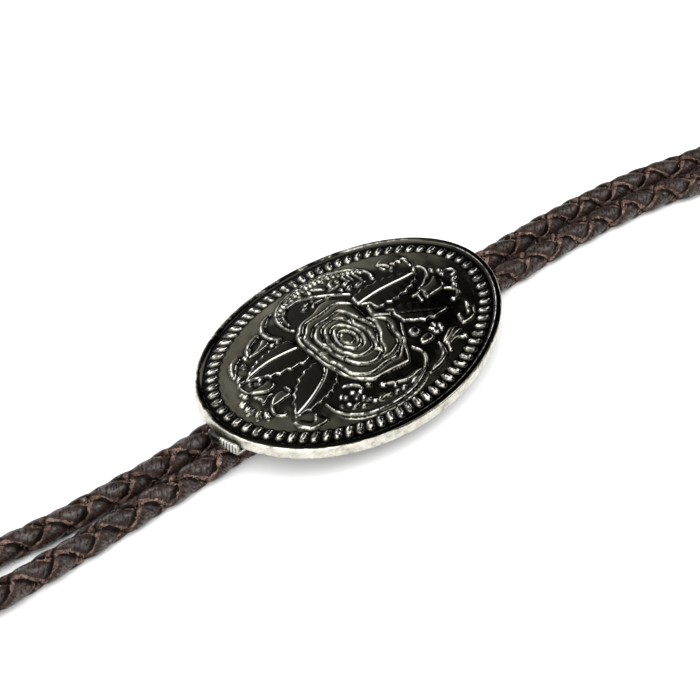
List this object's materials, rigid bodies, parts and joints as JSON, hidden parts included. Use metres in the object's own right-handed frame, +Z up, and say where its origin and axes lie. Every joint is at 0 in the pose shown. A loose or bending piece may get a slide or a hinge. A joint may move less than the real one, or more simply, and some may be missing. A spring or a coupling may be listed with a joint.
{
  "type": "bolo tie",
  "caption": "Bolo tie lying flat: a dark-plated oval slide with a rose relief clips a braided brown leather cord, whose neck loop closes on one side and whose tipped ends lie on the other.",
  "frame": {"origin": "on the surface the tie lies on, under the middle of the slide (plate and clip)", "axes": "+X along the slide's long axis towards the neck loop, with the free ends towards -X; +Y across the slide; +Z up out of the ornament's face"},
  "size_m": [0.3259, 0.0384, 0.0084],
  "materials": {
    "plated_casting": "polished black-nickel plating on a zinc casting, worn to pale metal round the edge",
    "sheet_clip": "pressed and plated steel sheet",
    "braided_leather": "dark brown braided leather with satin top grain and raw lighter strand edges",
    "tip_metal": "plain polished dark-plated metal"
  },
  "bodies": {
    "root": {"slide_plate": "plated_casting", "cord_clip": "sheet_clip", "cord": "braided_leather", "tip_rear": "tip_metal", "tip_front": "tip_metal"}
  },
  "joints": []
}
